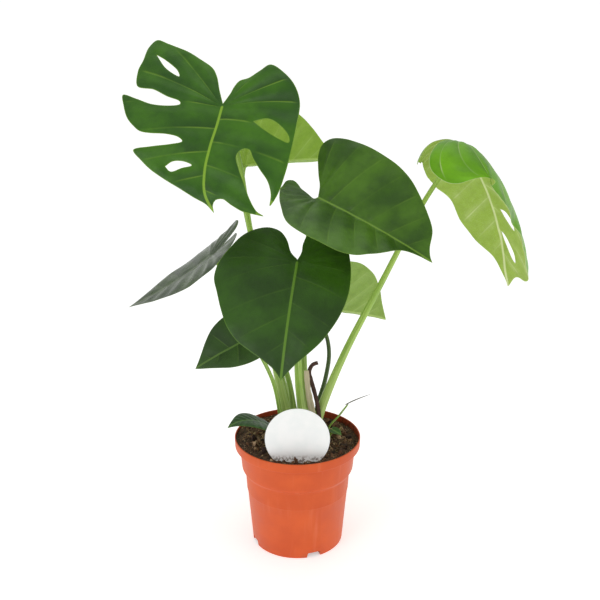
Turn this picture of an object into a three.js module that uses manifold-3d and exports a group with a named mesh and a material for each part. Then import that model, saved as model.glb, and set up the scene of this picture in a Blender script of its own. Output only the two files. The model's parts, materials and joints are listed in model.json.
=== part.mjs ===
// A young monstera in a plastic nursery pot. Millimetres, +Z up.
// The pot's axis is Z, its base stands on Z = 0, and the side with the care label faces -Y.
import * as THREE from 'three';
import { TessellateModifier } from 'three/addons/modifiers/TessellateModifier.js';
import { mergeGeometries, mergeVertices } from 'three/addons/utils/BufferGeometryUtils.js';
import Module from 'manifold-3d';

const wasm = await Module();
wasm.setup();

// ---- Driving sizes ----
const potHeight = 154;
const rimRadius = 85; // outside of the lip
const baseRadius = 62; // outside of the pot where it meets the floor
const potWall = 1.6;
const lipHeight = 13;
const lipStep = 6.5; // how far the lip stands out from the collar below it
const collarHeight = 32; // from the lip down to the stacking shoulder
const collarTaper = 3; // how much narrower the collar is at its foot
const shoulderStep = 4.5; // how far the collar stands out from the body
const shoulderDrop = 5;
const potSegments = 48;
const notchCount = 4;
const notchWidth = 19;
const notchHeight = 7;
const notchReach = 12; // how far a drainage notch cuts in from the foot
const firstNotchAngle = 21; // degrees from +X

const soilDrop = 8; // soil level at the wall, below the rim
const soilMound = 4; // the middle of the soil above its edge
const fit = 0.5; // clearance between pieces that touch

const labelRadius = 42;
const labelThickness = 1.4;
const labelLean = 4; // degrees back from upright
const labelSink = 9.5; // bottom of the disc below the soil level
const spikeLength = 38;
const spikeWidth = 14;
const spikeShoulder = 0.6; // share of the spike's length where its taper starts
const labelFromWall = 3; // from the spike's point to the inside of the pot

const bladeThickness = 1.1;
const meshEdge = 34; // longest triangle edge on a blade
const stemSides = 8;
const stemSteps = 14;
const rootDepth = 24; // how deep a leaf stalk goes into the soil
const stalkScale = 1; // thickness of every leaf stalk

const soilTop = potHeight - soilDrop;
const rad = THREE.MathUtils.degToRad;
const finish = (color, roughness) => new THREE.MeshStandardMaterial({ color, roughness, metalness: 0 });

// ---- Solids ----
function toSolid(geometry) {
  const bare = geometry.index ? geometry.toNonIndexed() : geometry.clone();
  bare.deleteAttribute('normal');
  bare.deleteAttribute('uv');
  const merged = mergeVertices(bare, 1e-4);
  const vertProperties = new Float32Array(merged.attributes.position.array);
  const triVerts = new Uint32Array(merged.index.array);
  return new wasm.Manifold(new wasm.Mesh({ numProp: 3, vertProperties, triVerts }));
}

function toGeometry(solid) {
  const mesh = solid.getMesh();
  const geometry = new THREE.BufferGeometry();
  geometry.setAttribute('position', new THREE.BufferAttribute(new Float32Array(mesh.vertProperties), 3));
  geometry.setIndex([...mesh.triVerts]);
  geometry.computeVertexNormals();
  return geometry;
}

// A closed skin over rings of equal point count, with a flat cap at each end.
function loft(rings) {
  const sides = rings[0].length;
  const points = rings.flat();
  const faces = [];
  for (let r = 0; r + 1 < rings.length; r += 1) {
    for (let s = 0; s < sides; s += 1) {
      const a = r * sides + s;
      const b = r * sides + (s + 1) % sides;
      faces.push(a, b, b + sides, a, b + sides, a + sides);
    }
  }
  const last = points.length - sides;
  for (let s = 1; s + 1 < sides; s += 1) {
    faces.push(0, s + 1, s, last, last + s, last + s + 1);
  }
  const geometry = new THREE.BufferGeometry().setFromPoints(points);
  geometry.setIndex(faces);
  geometry.computeVertexNormals();
  return geometry;
}

// A stalk or strip along a curve; halfSize(u) gives its two half widths, and the second of them lies
// along facing where that is given.
function stalkAlong(curve, halfSize, facing = null) {
  const { tangents, normals, binormals } = curve.computeFrenetFrames(stemSteps, false);
  const rings = [];
  for (let i = 0; i <= stemSteps; i += 1) {
    const u = i / stemSteps;
    const centre = curve.getPointAt(u);
    const [wide, thin] = halfSize(u);
    const through = facing ? facing.clone().projectOnPlane(tangents[i]).normalize() : binormals[i];
    const across = facing ? through.clone().cross(tangents[i]) : normals[i];
    const ring = [];
    for (let s = 0; s < stemSides; s += 1) {
      const angle = 2 * Math.PI * s / stemSides;
      ring.push(centre.clone()
        .addScaledVector(across, wide * Math.cos(angle))
        .addScaledVector(through, thin * Math.sin(angle)));
    }
    rings.push(ring);
  }
  return loft(rings);
}

// ---- Pot ----
const collarTop = rimRadius - lipStep;
const collarFoot = collarTop - collarTaper;
const bodyTop = collarFoot - shoulderStep;
const collarFootZ = potHeight - lipHeight - collarHeight;
const bodyTopZ = collarFootZ - shoulderDrop;

function potProfile() {
  const outside = [
    [0, 0],
    [baseRadius, 0],
    [bodyTop, bodyTopZ],
    [collarFoot, collarFootZ],
    [collarTop, potHeight - lipHeight],
    [rimRadius, potHeight - lipHeight],
    [rimRadius, potHeight],
  ];
  const inside = [
    [rimRadius - potWall, potHeight],
    [rimRadius - potWall, potHeight - lipHeight + potWall],
    [collarTop - potWall, potHeight - lipHeight + potWall],
    [collarFoot - potWall, collarFootZ],
    [bodyTop - potWall, bodyTopZ],
    [baseRadius - potWall, potWall],
    [0, potWall],
  ];
  return [...outside, ...inside].map(([r, z]) => new THREE.Vector2(r, z));
}

// A lathe turns about Y, so the profile's height is tipped up onto Z.
const turned = (profile) => new THREE.LatheGeometry(profile, potSegments).rotateX(Math.PI / 2);

function makePot() {
  let pot = toSolid(turned(potProfile()));
  for (let i = 0; i < notchCount; i += 1) {
    const notch = new THREE.BoxGeometry(2 * notchReach, notchWidth, 2 * notchHeight);
    notch.translate(baseRadius, 0, 0);
    notch.rotateZ(rad(firstNotchAngle + 360 * i / notchCount));
    pot = pot.subtract(toSolid(notch));
  }
  return toGeometry(pot);
}

// ---- Soil ----
// It fills the pot inside the wall, and is cut away round everything that stands in it.
function wallInside(z) {
  const rise = (z - potWall) / (bodyTopZ - potWall);
  if (z <= bodyTopZ) return baseRadius + (bodyTop - baseRadius) * rise - potWall;
  const collar = (z - collarFootZ) / collarHeight;
  return Math.min(collarTop, collarFoot + collarTaper * collar) - potWall;
}

function makeSoil(inSoil) {
  const soilEdge = wallInside(soilTop) - fit;
  const floor = Math.max(potWall, notchHeight) + fit;
  const profile = [
    [0, floor],
    [wallInside(floor) - fit, floor],
    [bodyTop - potWall - fit, bodyTopZ],
    [collarFoot - potWall - fit, collarFootZ],
    [soilEdge, soilTop],
    [0.6 * soilEdge, soilTop + 0.7 * soilMound],
    [0, soilTop + soilMound],
  ].map(([r, z]) => new THREE.Vector2(r, z));
  let soil = toSolid(turned(profile));
  for (const hole of inSoil) soil = soil.subtract(toSolid(hole));
  return toGeometry(soil);
}

// ---- Care label ----
// A round plate with a tapering spike, cut from one sheet and pushed into the soil in front.
const spikeDepth = labelSink + spikeLength;
const spikeRoom = wallInside(soilTop - spikeDepth) - spikeDepth * Math.sin(rad(labelLean));
const labelY = labelFromWall - Math.min(spikeRoom, wallInside(soilTop) - fit);

function labelSheet(grow) {
  const half = spikeWidth / 2 + grow;
  const radius = labelRadius + grow;
  const neck = Math.asin(half / radius);
  const taper = (1 - spikeShoulder) * spikeLength;
  const point = spikeLength + grow * Math.hypot(spikeWidth / 2, taper) / (spikeWidth / 2);
  const shape = new THREE.Shape();
  shape.absarc(0, labelRadius, radius, neck - Math.PI / 2, 1.5 * Math.PI - neck, false);
  shape.lineTo(-half, -spikeShoulder * spikeLength);
  shape.lineTo(0, -point);
  shape.lineTo(half, -spikeShoulder * spikeLength);
  const depth = labelThickness + 2 * grow;
  const sheet = new THREE.ExtrudeGeometry(shape, { depth, bevelEnabled: false, curveSegments: 40 });
  sheet.translate(0, -labelSink, -depth / 2);
  sheet.rotateX(Math.PI / 2 - rad(labelLean));
  return sheet.translate(0, labelY, soilTop);
}

// ---- Leaf blades ----
// A blade is drawn flat: its midrib runs along +Y from the point where the stalk joins, and the two
// margins run from the notch between the basal lobes to the drip tip.
// Then it is bent. Angles are in degrees:
//   droop    how far the tip half has turned down, 160 mm out along the midrib
//   power    1 bends it evenly, less bends it early
//   lobeBend how fast the basal lobes turn down, per 100 mm
//   fold     the rise of each half from the midrib, [left, right]
//   curl     how fast each half turns up towards its margin, per 100 mm
const droopReach = 160;
const ridgeRounding = 5;

function bend(x, y, leaf) {
  const side = x > 0 ? 1 : 0;
  const across = Math.abs(x);
  const steps = 24;
  let along = 0;
  let up = 0;
  let slope = 0;
  if (y >= 0) {
    const slopeAt = (d) => -rad(leaf.droop) * (d / droopReach) ** leaf.power;
    for (let i = 0; i < steps; i += 1) {
      const middle = slopeAt(y * (i + 0.5) / steps);
      along += Math.cos(middle) * y / steps;
      up += Math.sin(middle) * y / steps;
    }
    slope = slopeAt(y);
  } else {
    const rate = rad(leaf.lobeBend) / 100;
    slope = -rate * y;
    along = -Math.sin(slope) / rate;
    up = -(1 - Math.cos(slope)) / rate;
  }
  const turn = rad(leaf.curl[side]) / 100;
  const lift = rad(leaf.fold[side]);
  const rounded = Math.hypot(across, ridgeRounding);
  const riseTo = (d) => (Math.cos(lift) - Math.cos(lift + turn * d)) / turn;
  const out = Math.sign(x) * (Math.sin(lift + turn * across) - Math.sin(lift)) / turn;
  const rise = riseTo(rounded) - riseTo(ridgeRounding);
  return new THREE.Vector3(out, along - rise * Math.sin(slope), up + rise * Math.cos(slope));
}

function bendNormal(x, y, leaf) {
  const step = 0.5;
  const acrossBlade = bend(x + step, y, leaf).sub(bend(x - step, y, leaf));
  const alongBlade = bend(x, y + step, leaf).sub(bend(x, y - step, leaf));
  return acrossBlade.cross(alongBlade).normalize();
}

const smoothLine = (points, perSpan) => {
  const curve = new THREE.CatmullRomCurve3(points.map(([x, y]) => new THREE.Vector3(x, y, 0)));
  return curve.getPoints(perSpan * (points.length - 1)).map((p) => new THREE.Vector2(p.x, p.y));
};

// The flat sheet: two halves that meet along the midrib, split until no edge is too long.
function flatBlade(leaf) {
  const tip = leaf.tip ?? [0, leaf.length];
  const halves = [leaf.left, leaf.right].map((margin, i) => {
    const edge = smoothLine([leaf.notch, ...margin, tip], leaf.perSpan ?? 2);
    const shape = new THREE.Shape(edge);
    for (const hole of (leaf.holes ?? []).filter(([[x]]) => (x > 0) === (i === 1))) {
      shape.holes.push(new THREE.Path(smoothLine([...hole, hole[0]], 1).slice(0, -1)));
    }
    return new THREE.ShapeGeometry(shape).toNonIndexed();
  });
  const sheet = new TessellateModifier(meshEdge, 12).modify(mergeGeometries(halves));
  sheet.deleteAttribute('normal');
  sheet.deleteAttribute('uv');
  return mergeVertices(sheet, 1e-3);
}

function makeBlade(leaf) {
  const sheet = flatBlade(leaf);
  const flat = sheet.attributes.position;
  const count = flat.count;
  const points = [];
  for (const face of [1, -1]) {
    for (let i = 0; i < count; i += 1) {
      const [x, y] = [flat.getX(i), flat.getY(i)];
      const offset = face * bladeThickness / 2;
      points.push(bend(x, y, leaf).addScaledVector(bendNormal(x, y, leaf), offset));
    }
  }
  const faces = [];
  const edges = new Set();
  for (let i = 0; i < sheet.index.count; i += 3) {
    let [a, b, c] = [0, 1, 2].map((k) => sheet.index.getX(i + k));
    const turn = (flat.getX(b) - flat.getX(a)) * (flat.getY(c) - flat.getY(a))
      - (flat.getX(c) - flat.getX(a)) * (flat.getY(b) - flat.getY(a));
    if (turn < 0) [b, c] = [c, b];
    faces.push(a, b, c, a + count, c + count, b + count);
    for (const edge of [[a, b], [b, c], [c, a]]) edges.add(edge.join());
  }
  for (const edge of edges) {
    const [a, b] = edge.split(',').map(Number);
    if (!edges.has([b, a].join())) faces.push(a, a + count, b + count, a, b + count, b);
  }
  const geometry = new THREE.BufferGeometry().setFromPoints(points);
  geometry.setIndex(faces);
  geometry.computeVertexNormals();
  return geometry;
}

// The blade's own axes: across, along the midrib, and up out of its upper face.
function bladeAxes({ heading, pitch, roll }) {
  const [h, p, r] = [heading, pitch, roll].map(rad);
  const along = new THREE.Vector3(Math.cos(h) * Math.cos(p), Math.sin(h) * Math.cos(p), Math.sin(p));
  const level = new THREE.Vector3(Math.sin(h), -Math.cos(h), 0);
  const across = level.applyAxisAngle(along, r);
  return new THREE.Matrix4().makeBasis(across, along, across.clone().cross(along));
}

// A whole heart-shaped leaf: radii of its margin, as shares of its length, round from the tip.
const heartRadii = [0.9, 0.81, 0.725, 0.665, 0.62, 0.59, 0.565, 0.5, 0.38, 0.2];
const heartAngles = [6, 14, 28, 48, 72, 98, 122, 144, 160, 172];

function heart(length, leftWidth, rightWidth) {
  const margin = (width) => heartRadii.map((share, i) => {
    const angle = rad(heartAngles[i]);
    return [width * share * length * Math.sin(angle), share * length * Math.cos(angle)];
  }).reverse();
  return { length, notch: [0, -0.02 * length], left: margin(-leftWidth), right: margin(rightWidth) };
}

// ---- The leaves ----
// join is where the stalk meets the blade, from the middle of the soil's level. heading is the way the
// midrib points, in degrees from +X; pitch is its climb; roll turns the blade about the midrib.
// stalk lists the points that the stalk passes on its way from the soil to the join.
const leaves = [
  {
    name: 'split_leaf_upper_left',
    color: 0x4f7a2c,
    join: [-90, -10, 450],
    heading: -104,
    pitch: -47,
    roll: -5,
    droop: 17,
    power: 1.4,
    lobeBend: 3,
    fold: [3, 3],
    curl: [-7, -7],
    notch: [0, -5],
    tip: [-16, 138],
    right: [
      [8, -24], [15, -43], [23, -55], [42, -67], [64, -79], [88, -88], [104, -93], [112, -82],
      [114, -60], [117, -44], [112, -21], [90, -17], [70, -8], [54, -3], [52, 1], [66, 5], [87, 4],
      [108, -2], [128, -8], [122, 10], [113, 27], [104, 36], [94, 43], [80, 45], [60, 45], [44, 48],
      [38, 53], [52, 58], [76, 63], [96, 69], [83, 82], [70, 92], [56, 100], [42, 107], [29, 113],
      [12, 121], [-4, 128],
    ],
    left: [
      [-6, -20], [-9, -31], [-14, -40], [-24, -45], [-36, -57], [-47, -67], [-66, -57], [-82, -40],
      [-92, -18], [-94, 14], [-93, 50], [-91, 81], [-86, 107], [-79, 122], [-78, 108], [-72, 93],
      [-61, 80], [-50, 66], [-44, 56], [-36, 56], [-30, 64], [-36, 81], [-45, 98], [-55, 117],
      [-65, 130], [-74, 135], [-62, 134], [-48, 132], [-34, 126], [-23, 120], [-15, 122], [-13, 128],
    ],
    perSpan: 1,
    holes: [
      [[98, -69], [84, -61], [66, -47], [62, -39], [80, -48]],
      [[53, 86], [45, 79], [31, 78], [21, 82], [32, 86], [45, 92]],
      [[-42, 16], [-59, 12], [-75, 20], [-87, 33], [-88, 40], [-77, 37], [-56, 26]],
    ],
    stalk: [[-9, 0, 0], [-15, 1, 40], [-29, 2, 109], [-60, -3, 300], [-72, -6, 388]],
    stalkBase: 5.9,
    stalkTip: 3,
  },
  {
    name: 'heart_leaf_centre_right',
    color: 0x42702c,
    join: [25, -40, 346],
    heading: -29,
    pitch: -18,
    roll: 28,
    droop: 11,
    power: 1.4,
    lobeBend: 15,
    fold: [27, 27],
    curl: [-8, -8],
    notch: [0, 0],
    tip: [2, 161],
    right: [
      [5, -3], [3, -13], [-1, -24], [-6, -32], [-9, -42], [-5, -50], [14, -45], [39, -31], [64, -13],
      [84, 6], [90, 25], [90, 50], [87, 76], [76, 94], [58, 104], [38, 115], [15, 128], [6, 144],
    ],
    left: [
      [-15, -6], [-26, -14], [-37, -21], [-50, -28], [-65, -31], [-77, -25], [-84, -11], [-87, 12],
      [-86, 38], [-82, 62], [-73, 86], [-62, 104], [-47, 124], [-32, 140], [-14, 148], [-5, 154],
    ],
    stalk: [[12, 10, 0], [11, 12, 40], [8, 12, 180], [14, -8, 290]],
    stalkBase: 4.6,
    stalkTip: 3,
  },
  {
    name: 'heart_leaf_centre_front',
    color: 0x375a27,
    join: [0, -95, 281],
    heading: -101,
    pitch: -40,
    roll: -1,
    droop: 21,
    power: 1.4,
    lobeBend: 12,
    fold: [6, 6],
    curl: [-19, -19],
    notch: [0, -4],
    tip: [-1, 147],
    right: [
      [9, -13], [17, -31], [28, -44], [42, -49], [58, -45], [75, -34], [88, -10], [97, 8], [98, 24],
      [90, 45], [80, 69], [69, 90], [56, 105], [41, 115], [22, 126], [8, 136],
    ],
    left: [
      [-3, -14], [-3, -28], [-7, -41], [-17, -50], [-33, -52], [-48, -43], [-58, -22], [-64, 2],
      [-66, 27], [-64, 48], [-58, 69], [-51, 84], [-41, 100], [-28, 115], [-13, 131],
    ],
    stalk: [[9, -14, 0], [7, -14, 40], [2, -18, 92], [0, -40, 180], [1, -78, 255]],
    stalkBase: 6.8,
    stalkTip: 3.1,
  },
  {
    ...heart(134, 0.78, 0.72),
    name: 'edge_on_leaf_left',
    color: 0x7b8a6c,
    join: [-115, 50, 246],
    heading: 179,
    pitch: -41,
    roll: -4,
    droop: -17,
    power: 0.8,
    lobeBend: -15,
    fold: [8, 8],
    curl: [-24, -24],
    stalk: [[0, 13, 0], [-5, 14, 40], [-17, 19, 98], [-55, 32, 170], [-92, 43, 218]],
    stalkBase: 4.6,
    stalkTip: 2.8,
  },
  {
    ...heart(76, 1, 1),
    name: 'low_leaf_left',
    color: 0x3f5c2c,
    join: [-62, -45, 165],
    heading: 197,
    pitch: -22,
    roll: -24,
    droop: 30,
    power: 1.4,
    lobeBend: 33,
    fold: [15, 15],
    curl: [-1, -1],
    stalk: [[-18, -12, 0], [-22, -14, 40], [-33, -22, 100]],
    stalkBase: 3.6,
    stalkTip: 2.3,
  },
  {
    ...heart(150, 1, 1.03),
    name: 'back_leaf_upper',
    color: 0x7b9a42,
    join: [-74, 120, 353],
    heading: 33,
    pitch: 1,
    roll: -41,
    droop: 10,
    power: 1.4,
    lobeBend: 15,
    fold: [24, 24],
    curl: [10, 10],
    stalk: [[-10, 24, 0], [-13, 26, 40], [-32, 42, 120], [-64, 88, 265], [-74, 106, 315]],
    stalkBase: 4.4,
    stalkTip: 2.8,
  },
  {
    ...heart(147, 1, 1.05),
    name: 'back_leaf_lower',
    color: 0x7f9d51,
    join: [18, 90, 158],
    heading: 39,
    pitch: -14,
    roll: -36,
    droop: 14,
    power: 1.4,
    lobeBend: 15,
    fold: [24, 24],
    curl: [1, 1],
    stalk: [[24, 17, 0], [27, 19, 40], [38, 30, 78], [43, 42, 110], [38, 58, 134]],
    stalkBase: 3.6,
    stalkTip: 2.6,
  },
  {
    name: 'drooping_leaf_right',
    color: 0x7fa83c,
    join: [202, 24, 399],
    heading: 27,
    pitch: -38,
    roll: -5,
    droop: 38,
    power: 0.6,
    lobeBend: 150,
    fold: [-29, 4],
    curl: [-30, -55],
    notch: [0, -6],
    tip: [0, 220],
    left: [
      [-3, -33], [-16, -65], [-37, -74], [-56, -52], [-64, -14], [-70, 20], [-64, 50], [-54, 82],
      [-50, 118], [-40, 145], [-27, 163], [-13, 184],
    ],
    right: [
      [6, -42], [27, -82], [66, -96], [98, -68], [113, -18], [112, 42], [100, 100], [85, 160],
      [50, 199], [18, 203],
    ],
    holes: [
      [[3, 139], [5, 150], [13, 164], [25, 180], [26, 172], [16, 154], [8, 143]],
      [[15, 104], [19, 116], [27, 126], [35, 132], [32, 118], [24, 106]],
    ],
    stalk: [[21, -1, 0], [31, 0, 44], [63, 4, 127], [110, 12, 223], [160, 20, 325], [185, 24, 366]],
    stalkBase: 6.2,
    stalkTip: 2.8,
  },
  {
    ...heart(58, 0.95, 0.95),
    name: 'small_leaf_over_rim',
    color: 0x35551f,
    join: [-42, -20, 34],
    heading: 204,
    pitch: 31,
    roll: 3,
    droop: 285,
    power: 1.5,
    lobeBend: 42,
    fold: [5, 5],
    curl: [-37, -37],
    perSpan: 4,
    stalk: [[-30, -18, 0], [-33, -18, 14]],
    stalkBase: 2,
    stalkTip: 1.4,
  },
  {
    name: 'young_leaf_right',
    color: 0x6b7a5c,
    join: [66, 8, 50],
    heading: 8,
    pitch: 24,
    roll: -20,
    droop: 60,
    power: 1.4,
    lobeBend: 15,
    fold: [6, 6],
    curl: [4, 4],
    notch: [0, -2],
    tip: [0, 36],
    right: [[2, -1], [4, 4], [4.4, 13], [3, 25]],
    left: [[-2, -1], [-4, 4], [-4, 14], [-2.6, 26]],
    stalk: [[40, 2, 0], [43, 3, 18], [56, 5, 34]],
    stalkBase: 1.5,
    stalkTip: 1.1,
  },
  {
    ...heart(14, 1, 1),
    name: 'tiny_leaf_by_label',
    color: 0x2f5020,
    join: [48, -22, 26],
    heading: -40,
    pitch: -10,
    roll: 0,
    droop: 160,
    power: 1.4,
    lobeBend: 15,
    fold: [8, 8],
    curl: [-10, -10],
    stalk: [[42, -14, 0], [43, -15, 12]],
    stalkBase: 1.4,
    stalkTip: 1,
  },
];

// ---- Leaf stalks ----
// Each one starts in the soil, swells into a sheath at its foot, and ends just under its blade.
const sheathSwell = 0.25;
const sheathShare = 0.3; // of the stalk's length
const stalkTaper = 1.3; // above 1 the stalk thins faster near its foot

function stalkCurve(leaf, grow) {
  const up = new THREE.Vector3().setFromMatrixColumn(bladeAxes(leaf), 2);
  const reach = bladeThickness / 2 + fit + leaf.stalkTip * stalkScale;
  const end = new THREE.Vector3(...leaf.join).addScaledVector(up, -reach);
  const foot = new THREE.Vector3(...leaf.stalk[0]).setZ(-rootDepth - grow);
  const points = [foot, ...leaf.stalk.map((p) => new THREE.Vector3(...p)), end];
  return new THREE.CatmullRomCurve3(points);
}

function makeStalk(leaf, grow = 0) {
  return stalkAlong(stalkCurve(leaf, grow), (u) => {
    const swell = 1 + sheathSwell * Math.max(0, 1 - u / sheathShare);
    const taper = leaf.stalkTip + (leaf.stalkBase - leaf.stalkTip) * (1 - u) ** stalkTaper;
    const radius = stalkScale * taper * swell + grow;
    return [radius, radius];
  });
}

// ---- Dry sheaths ----
// Papery remains of old leaf bases: a pale strip beside the thickest stalk, and a brown curled one.
// Their flat sides face the front.
const drySheaths = [
  {
    name: 'pale_dry_sheath',
    color: 0xc9bf9b,
    path: [[23, -14, -12], [23.4, -14, 10], [20, -13, 44], [14, -17, 82], [11.6, -22, 112]],
    wide: 5.4,
    thin: 0.9,
  },
  {
    name: 'brown_dry_sheath',
    color: 0x4a3325,
    path: [
      [32, -11, -10], [31.5, -11, 14], [26, -9, 60], [18, -6, 92], [15.5, -5, 103], [20, -5, 113],
      [27, -5, 116],
    ],
    wide: 2.4,
    thin: 1.1,
  },
];

const stripNarrowing = 0.4; // from foot to top
const stripThinning = 0.3;

function makeSheath({ path, wide, thin }, grow = 0) {
  const points = path.map((p) => new THREE.Vector3(...p));
  points[0].z -= grow;
  const curve = new THREE.CatmullRomCurve3(points);
  return stalkAlong(curve, (u) => {
    return [wide * (1 - stripNarrowing * u) + grow, thin * (1 - stripThinning * u) + grow];
  }, new THREE.Vector3(0, 1, 0));
}

// ---- Assembly ----
const potted = new THREE.Group();
const plant = new THREE.Group();
plant.position.z = soilTop;
potted.add(plant);

function add(group, name, geometry, material) {
  const mesh = new THREE.Mesh(geometry, material);
  mesh.name = name;
  group.add(mesh);
  return mesh;
}

const raised = (geometry) => geometry.translate(0, 0, soilTop);
const inSoil = [
  labelSheet(fit),
  ...leaves.map((leaf) => raised(makeStalk(leaf, fit))),
  ...drySheaths.map((sheath) => raised(makeSheath(sheath, fit))),
];

add(potted, 'pot', makePot(), finish(0xdb6b44, 0.5));
add(potted, 'soil', makeSoil(inSoil), finish(0x4c3826, 0.95));
add(potted, 'plant_label', labelSheet(0), finish(0xfafaf8, 0.35));

for (const leaf of leaves) {
  const blade = add(plant, leaf.name, makeBlade(leaf), finish(leaf.color, 0.4));
  blade.position.set(...leaf.join);
  blade.quaternion.setFromRotationMatrix(bladeAxes(leaf));
  add(plant, `${leaf.name}_stalk`, makeStalk(leaf), finish(0x6f9140, 0.5));
}
for (const sheath of drySheaths) {
  add(plant, sheath.name, makeSheath(sheath), finish(sheath.color, 0.85));
}

export default potted;
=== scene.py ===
import json
from math import cos, exp, pi, radians, sin

import bpy
import numpy as np
from mathutils import Matrix, Vector, noise
from mathutils.geometry import delaunay_2d_cdt

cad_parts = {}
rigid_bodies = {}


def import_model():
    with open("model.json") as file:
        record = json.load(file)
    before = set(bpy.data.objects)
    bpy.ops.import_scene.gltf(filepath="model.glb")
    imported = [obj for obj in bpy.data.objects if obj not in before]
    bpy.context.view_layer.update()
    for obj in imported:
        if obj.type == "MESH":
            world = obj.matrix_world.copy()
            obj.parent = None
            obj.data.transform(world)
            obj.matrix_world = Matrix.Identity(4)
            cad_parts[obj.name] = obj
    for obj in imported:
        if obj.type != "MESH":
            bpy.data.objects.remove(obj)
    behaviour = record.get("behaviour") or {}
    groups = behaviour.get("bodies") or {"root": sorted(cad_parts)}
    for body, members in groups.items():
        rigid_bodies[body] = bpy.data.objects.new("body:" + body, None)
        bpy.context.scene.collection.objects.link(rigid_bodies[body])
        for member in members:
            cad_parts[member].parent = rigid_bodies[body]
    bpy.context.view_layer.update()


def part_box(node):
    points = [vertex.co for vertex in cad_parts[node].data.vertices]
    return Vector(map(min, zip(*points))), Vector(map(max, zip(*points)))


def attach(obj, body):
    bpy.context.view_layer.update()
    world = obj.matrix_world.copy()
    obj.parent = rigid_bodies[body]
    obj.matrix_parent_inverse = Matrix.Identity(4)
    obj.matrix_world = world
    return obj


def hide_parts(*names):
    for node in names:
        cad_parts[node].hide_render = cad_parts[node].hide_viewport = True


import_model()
MM = 0.001


# ---- Pot ----
# A thin moulded nursery pot in terracotta-coloured plastic with a satin skin. It has a stiff lip, a
# collar under it for stacking, a fine ledge round the body and four drainage notches in its foot.
class Net:
    """A socket in a node tree that takes part in arithmetic and can be passed to other nodes."""

    def __init__(self, tree, socket=None):
        self.tree = tree
        self.socket = socket

    def make(self, kind, inputs=None, out=0, **settings):
        node = self.tree.nodes.new(kind)
        for key, value in settings.items():
            setattr(node, key, value)
        for key, value in (inputs or {}).items():
            self.feed(node.inputs[key], value)
        return Net(self.tree, node.outputs[out])

    def feed(self, target, value):
        if isinstance(value, Net):
            self.tree.links.new(value.socket, target)
        else:
            target.default_value = value

    def math(self, operation, *values):
        return self.make("ShaderNodeMath", dict(enumerate(values)), operation=operation)

    def __add__(self, other):
        return self.math("ADD", self, other)

    def __sub__(self, other):
        return self.math("SUBTRACT", self, other)

    def __rsub__(self, other):
        return self.math("SUBTRACT", other, self)

    def __mul__(self, other):
        return self.math("MULTIPLY", self, other)

    def __truediv__(self, other):
        return self.math("DIVIDE", self, other)

    def __pow__(self, other):
        return self.math("POWER", self, other)

    __radd__ = __add__
    __rmul__ = __mul__

    def vector(self, operation, other, out=0):
        return self.make("ShaderNodeVectorMath", {0: self, 1: other}, out, operation=operation)

    def part(self, axis):
        return self.make("ShaderNodeSeparateXYZ", {0: self}, axis)

    def ramp(self, start, end, low=0.0, high=1.0):
        """Goes smoothly from low to high while this socket goes from start to end."""
        span = {"Value": self, "From Min": start, "From Max": end, "To Min": low, "To Max": high}
        return self.make("ShaderNodeMapRange", span, interpolation_type="SMOOTHSTEP")

    def blend(self, first, second):
        """The first colour where this socket is 0, the second where it is 1."""
        return self.make("ShaderNodeMix", {0: self, 6: first, 7: second}, 2, data_type="RGBA")

    def noise(self, scale, detail=3.0, roughness=0.5):
        """Noise from 0 to 1 over this vector."""
        grain = {"Vector": self, "Scale": scale, "Detail": detail, "Roughness": roughness}
        return self.make("ShaderNodeTexNoise", grain)


def srgb(red, green, blue):
    """A screen colour, each part 0 to 255, as the linear colour that a shader takes."""
    shares = [part / 255 for part in (red, green, blue)]
    return (*[s / 12.92 if s <= 0.04045 else ((s + 0.055) / 1.055) ** 2.4 for s in shares], 1.0)


def new_material(name):
    """A material, a net for its nodes, and the sockets of its shader."""
    made = bpy.data.materials.new(name)
    made.use_nodes = True
    return made, Net(made.node_tree), made.node_tree.nodes["Principled BSDF"].inputs


def bump(net, height, distance, strength=1.0):
    """Surface detail from a height of 0 to 1, as a normal; distance is in metres."""
    sockets = {"Strength": strength, "Distance": distance, "Height": height}
    return net.make("ShaderNodeBump", sockets)


def new_object(name, points, faces, finish, edges=()):
    mesh = bpy.data.meshes.new(name)
    mesh.from_pydata([tuple(p) for p in points], edges, faces)
    mesh.materials.append(finish)
    made = bpy.data.objects.new(name, mesh)
    bpy.context.scene.collection.objects.link(made)
    return made


def place(piece, slot, *nodes):
    """Fixes a piece to the plant's one body and hides the CAD nodes that it stands in for; the slot
    argument is not used.
    """
    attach(piece, "root")
    if nodes:
        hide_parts(*nodes)


def rounded(profile):
    """Points (radius, height, size): each corner of the profile turned into an arc of that size."""
    points = []
    for i, (r, z, size) in enumerate(profile):
        corner = Vector((r, z))
        if size == 0:
            points.append(corner)
            continue
        before = corner + (Vector(profile[i - 1][:2]) - corner).normalized() * size
        after = corner + (Vector(profile[i + 1][:2]) - corner).normalized() * size
        for k in range(5):
            t = k / 4
            points.append(before * (1 - t) ** 2 + corner * 2 * t * (1 - t) + after * t * t)
    return points


def lathe(profile, segments):
    """A closed solid turned about +Z from a profile that starts and ends on the axis."""
    rings = profile[1:-1]
    points = [Vector((0, 0, profile[0][1])), Vector((0, 0, profile[-1][1]))]
    for r, z in rings:
        for k in range(segments):
            angle = 2 * pi * k / segments
            points.append(Vector((r * cos(angle), r * sin(angle), z)))
    faces = []
    for k in range(segments):
        after = (k + 1) % segments
        faces.append((0, 2 + after, 2 + k))
        top = 2 + (len(rings) - 1) * segments
        faces.append((1, top + k, top + after))
        for ring in range(len(rings) - 1):
            low = 2 + ring * segments
            high = low + segments
            faces.append((low + k, low + after, high + after, high + k))
    return points, faces


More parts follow.
